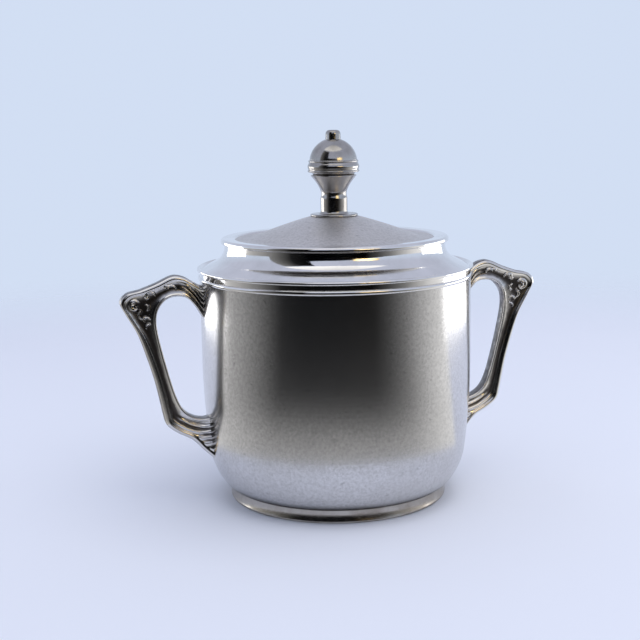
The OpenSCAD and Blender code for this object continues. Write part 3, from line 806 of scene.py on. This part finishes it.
def handle_section(s, u):
    """Points, half thickness and depth in the relief, at ribs s and shares u of the width."""
    inner, outer = rib_ends(s)
    width = np.linalg.norm(outer - inner, axis=-1)
    point = inner + (outer - inner) * u[..., None]
    near = np.clip(1 - np.minimum(s, LAST_RIB - s) / END_RIBS, 0, 1)
    half = (HANDLE_T + (HANDLE_END_T - HANDLE_T) * near ** 2) / 2

    # two ridges with a channel between them
    edge = np.minimum(u, 1 - u) * width
    ridge = np.where(u < 0.5, RIDGE_IN, RIDGE_OUT)
    bead = np.sqrt(np.clip(1 - ((edge - ridge / 2) / (ridge / 2 + RIDGE_SPREAD)) ** 2, 0, 1))
    on_edge = edge < ridge / 2
    channel_w = np.maximum(width - RIDGE_IN - RIDGE_OUT, CHANNEL_LEAST)
    across_channel = np.clip((u * width - RIDGE_IN) / channel_w, 0, 1)
    hollow = CHANNEL_SIDE + (1 - CHANNEL_SIDE) * np.sin(np.pi * across_channel)
    depth = np.where(on_edge, 0, smooth(edge, ridge * 0.5, ridge) * hollow) * CHANNEL

    # scrolls and flutes fill the channel again
    scroll = scroll_height(point[..., 0], point[..., 1]) * smooth(edge, ridge * 0.6, ridge)
    wave = 0.5 - 0.5 * np.cos(2 * np.pi * (u * width) / FLUTE_PITCH)
    flutes = wave * smooth(edge, ridge * 0.7, ridge * 1.2)
    ends = np.maximum(1 - smooth(s, *FLUTES_UPPER), smooth(s, *FLUTES_LOWER))
    lift = np.maximum(scroll * SCROLL_LIFT, flutes * ends * FLUTE_LIFT)
    left = depth * (1 - lift)

    thick = np.where(on_edge, (EDGE_SHARE + (1 - EDGE_SHARE) * bead) * half, half - left)
    outline = EDGE_DARK * (1 - smooth(edge, *EDGE_FADE))
    recess = np.maximum(np.clip(left / CHANNEL, 0, 1), outline)
    return point, thick, recess


def handle_grid():
    """Points, half thickness and depth in the relief of the right handle, in rings round its section."""
    fine = np.linspace(0, LAST_RIB, SAMPLES)
    inner, outer = rib_ends(fine)
    step = np.r_[0, np.hypot(*np.diff((inner + outer) / 2, axis=0).T)]
    in_relief = (fine > RELIEF_RIBS[0]) & (fine < RELIEF_RIBS[1])
    run = np.cumsum(step * np.where(in_relief, 1 / RELIEF_STEP, 1 / PLAIN_STEP))
    along = np.interp(np.linspace(0, run[-1], int(run[-1])), run, fine) / LAST_RIB

    across = np.linspace(0, 1, ACROSS)
    across = EVEN * across + (1 - EVEN) * (0.5 - 0.5 * np.cos(np.pi * across))

    # each line along the handle starts and ends just under the body's surface
    start, stop = np.zeros(ACROSS), np.full(ACROSS, float(LAST_RIB))
    for j, u in enumerate(across):
        point, thick, _ = handle_section(fine, np.full_like(fine, u))
        body = np.array([body_radius(z) for z in point[:, 1]])
        outside = np.flatnonzero(np.hypot(point[:, 0], thick) - body + SUNK > 0)
        start[j], stop[j] = fine[outside[0]], fine[outside[-1]]
    s = start + (stop - start) * along[:, None]
    return handle_section(s, np.broadcast_to(across, s.shape))


def make_handles():
    point, thick, recess = handle_grid()
    rings, width = thick.shape
    # up the front face, then back along the rear face: a closed ring of 2 * width points
    front = np.stack([point[..., 0], -thick, point[..., 1]], -1)
    rear = np.stack([point[..., 0], thick, point[..., 1]], -1)[:, ::-1]
    ring = np.concatenate([front, rear], 1) * MM
    depth = np.concatenate([recess, recess[:, ::-1]], 1).reshape(-1).astype(np.float32)
    n = ring.shape[1]
    faces = [(i * n + j, i * n + (j + 1) % n, (i + 1) * n + (j + 1) % n, (i + 1) * n + j)
             for i in range(rings - 1) for j in range(n)]
    # strips that close the first and the last ring
    for first, order in ((0, 1), ((rings - 1) * n, -1)):
        for j in range(width - 1):
            face = (first + j, first + n - 1 - j, first + n - 2 - j, first + j + 1)
            faces.append(face[::order])
    for node, side in (("handle_right", 1), ("handle_left", -1)):
        verts = (ring * (side, 1, 1)).reshape(-1, 3).tolist()
        turned = [f[::-side] if side > 0 else f for f in faces]
        obj = finish_mesh(node + "_fine", verts, turned, "bowl", CAST, node, CAST_SHARP)
        obj.data.attributes.new("recess", "FLOAT", "POINT").data.foreach_set("value", depth)


# ------------------------------------------------------------------ stage and light
BACKDROP = (0.645, 0.735, 0.900)
OVERHEAD_SKY = (0.56, 0.60, 0.74)
# Upward parts of the view direction between which the backdrop turns into the sky
SKY_FADE = (0.12, 0.55)
# The floor, and the distances between which it fades into the backdrop, in metres
FLOOR_COLOUR = (0.90, 0.92, 0.98)
FLOOR_FADE = (0.28, 0.60)
FLOOR_LEVEL = -0.0001
FLOOR_STEPS = 96
FRONT = math.degrees(CAMERA_AZIMUTH) - 90
# The darkened front of the studio, which only reflections see: degrees round from the camera (positive to
# its right), brightness, and how far up it reaches, in degrees
SCREEN = [(-112, 0.95, 2), (-102, 0.72, 2), (-92, 0.50, 2), (-80, 0.38, 2), (-68.5, 0.24, 2),
          (-68, 0.24, 54), (-56, 0.11, 54), (-44, 0.01, 54), (-26.5, 0.0, 54), (-26, 0.0, 24), (15, 0.0, 21),
          (30, 0.0, 14), (42, 0.06, 9), (54, 0.18, 5), (66, 0.42, 3), (78, 0.68, 2), (90, 0.90, 2),
          (100, 1.05, 2)]
# Brightness of the table in front by distance from the object's axis, in mm
TABLE = [(80, 0.47), (96, 0.41), (114, 0.31), (138, 0.17), (164, 0.085), (200, 0.045), (240, 0.03),
         (330, 0.012), (620, 0.0)]
TABLE_Z = 0.5
# The point of the body from which the front's reach up is taken: distance from the axis and height, in mm
SEEN_R = 40
SEEN_Z = 75
# Panels that only reflections see: distance and heights in mm, then (degrees, brightness)
SIDE_PANEL = (330, (5, 125))
PANEL_LEFT = [(-138, 2.8), (-99, 3.4)]
PANEL_RIGHT = [(95, 3.2), (136, 2.8)]
LAMP_PANEL = (560, (210, 330))
LAMP_GLOW = [(18, 1.2), (24, 3.2), (36, 3.0), (44, 0.9)]
LAMP_TINT = (1.0, 0.76, 0.38)
# The panel overhead: its half width in degrees, and rows of (distance, height, brightness)
TOP_SPREAD = 75
TOP_ROWS = [(600, 930, 1.25), (420, 1050, 1.1), (60, 1120, 0.85)]
# The soft light, which reflections don't see, in metres and watts
LIGHT_AT = Vector((0.2, -0.25, 0.8))
LIGHT_AIM = Vector((0.0, 0.0, 0.05))
LIGHT_SIZE = 0.9
LIGHT_POWER = 2.4
LIGHT_COLOUR = (1.0, 0.985, 0.96)


def glow_material():
    """Light whose colour and strength are the mesh's glow attribute."""
    mat = bpy.data.materials.new("screen_glow")
    mat.use_nodes = True
    tree = mat.node_tree
    tree.nodes.clear()
    out = tree.nodes.new("ShaderNodeOutputMaterial")
    shine = tree.nodes.new("ShaderNodeEmission")
    tone = tree.nodes.new("ShaderNodeAttribute")
    tone.attribute_name = "glow"
    tree.links.new(tone.outputs["Color"], shine.inputs["Color"])
    tree.links.new(shine.outputs[0], out.inputs["Surface"])
    return mat


def screen(name, rows, material, tint=(1.0, 1.0, 1.0)):
    """Curved screen that only reflections see. Rows hold (degrees, radius, height, brightness), in mm."""
    verts, faces, glow = [], [], []
    for row in rows:
        for azimuth, radius, z, bright in row:
            turn = math.radians(FRONT + azimuth)
            verts.append((radius * MM * math.cos(turn), radius * MM * math.sin(turn), z * MM))
            glow.append([bright * c for c in tint] + [1.0])
    n = len(rows[0])
    for i in range(len(rows) - 1):
        faces += [(i * n + j, i * n + j + 1, (i + 1) * n + j + 1, (i + 1) * n + j) for j in range(n - 1)]
    mesh = bpy.data.meshes.new(name)
    mesh.from_pydata(verts, [], faces)
    mesh.materials.append(material)
    tones = mesh.attributes.new("glow", "FLOAT_COLOR", "POINT")
    tones.data.foreach_set("color", np.array(glow, np.float32).ravel())
    obj = bpy.data.objects.new(name, mesh)
    bpy.context.scene.collection.objects.link(obj)
    obj.visible_camera = False
    obj.visible_shadow = False
    obj.visible_diffuse = False


def between(marks, n=6):
    """The marks with n - 1 even steps added between neighbours."""
    out = []
    for p, q in zip(marks, marks[1:]):
        out += [tuple(a + (b - a) * k / n for a, b in zip(p, q)) for k in range(n)]
    return out + [tuple(marks[-1])]


def front_screen(material):
    """The table, brighter near the object and towards the sides, and the dark front behind it."""
    marks = between(SCREEN)
    rows = []
    for radius, near in TABLE:
        rows.append([(a, radius, TABLE_Z, near + side * (1 - near)) for a, side, _ in marks])
    far = TABLE[-1][0]
    rise = far - SEEN_R
    rows.append([(a, far, SEEN_Z + rise * math.tan(math.radians(up)), side) for a, side, up in marks])
    screen("screen_front", rows, material)


def panel(name, place, marks, material, tint=(1.0, 1.0, 1.0)):
    radius, heights = place
    marks = between(marks)
    screen(name, [[(a, radius, z, bright) for a, bright in marks] for z in heights], material, tint)


def top_panel(material):
    turns = [a for a, in between([(-TOP_SPREAD,), (TOP_SPREAD,)])]
    rows = [[(a, radius, z, bright) for a in turns] for radius, z, bright in TOP_ROWS]
    screen("panel_top", rows, material)


def make_floor():
    f = Finish("floor", 0.0)
    f.set("Base Color", (*FLOOR_COLOUR, 1))
    f.set("Roughness", 0.8)
    f.set("Specular IOR Level", 0.1)
    far = f.node("ShaderNodeVectorMath", {0: f.place}, operation="LENGTH").outputs["Value"]
    f.set("Alpha", f.remap(far, *FLOOR_FADE, 1.0, 0.0))
    verts, faces = [(0.0, 0.0, FLOOR_LEVEL)], []
    radius = FLOOR_FADE[1]
    for k in range(FLOOR_STEPS):
        turn = 2 * math.pi * k / FLOOR_STEPS
        verts.append((radius * math.cos(turn), radius * math.sin(turn), FLOOR_LEVEL))
        faces.append((0, k + 1, (k + 1) % FLOOR_STEPS + 1))
    mesh = bpy.data.meshes.new("floor")
    mesh.from_pydata(verts, [], faces)
    mesh.materials.append(f.mat)
    floor = bpy.data.objects.new("floor", mesh)
    bpy.context.scene.collection.objects.link(floor)


def make_world():
    """The pale backdrop, which turns into a greyer sky higher up."""
    world = bpy.data.worlds.new("world")
    bpy.context.scene.world = world
    world.use_nodes = True
    tree = world.node_tree
    where = tree.nodes.new("ShaderNodeTexCoord")
    split = tree.nodes.new("ShaderNodeSeparateXYZ")
    ramp = tree.nodes.new("ShaderNodeMapRange")
    blend = tree.nodes.new("ShaderNodeMix")
    ramp.interpolation_type = "SMOOTHSTEP"
    ramp.inputs["From Min"].default_value, ramp.inputs["From Max"].default_value = SKY_FADE
    blend.data_type = "RGBA"
    blend.inputs[6].default_value = (*BACKDROP, 1)
    blend.inputs[7].default_value = (*OVERHEAD_SKY, 1)
    tree.links.new(where.outputs["Generated"], split.inputs[0])
    tree.links.new(split.outputs["Z"], ramp.inputs["Value"])
    tree.links.new(ramp.outputs["Result"], blend.inputs["Factor"])
    tree.links.new(blend.outputs[2], tree.nodes["Background"].inputs["Color"])


def make_light():
    light = bpy.data.lights.new("overhead", "AREA")
    light.shape = "DISK"
    light.size = LIGHT_SIZE
    light.energy = LIGHT_POWER
    light.color = LIGHT_COLOUR
    lamp = bpy.data.objects.new("overhead", light)
    bpy.context.scene.collection.objects.link(lamp)
    lamp.visible_glossy = False
    lamp.location = LIGHT_AT
    lamp.rotation_mode = "QUATERNION"
    lamp.rotation_quaternion = (LIGHT_AIM - LIGHT_AT).to_track_quat("-Z", "Y")


def make_stage():
    make_world()
    make_floor()
    glow = glow_material()
    front_screen(glow)
    panel("panel_left", SIDE_PANEL, PANEL_LEFT, glow)
    panel("panel_right", SIDE_PANEL, PANEL_RIGHT, glow)
    panel("lamp", LAMP_PANEL, LAMP_GLOW, glow, LAMP_TINT)
    top_panel(glow)
    make_light()
    bpy.context.scene.view_settings.view_transform = "Standard"


make_camera()
make_body()
make_neck()
make_seam_wire()
make_foot()
make_lid()
make_finial()
make_handles()
make_stage()
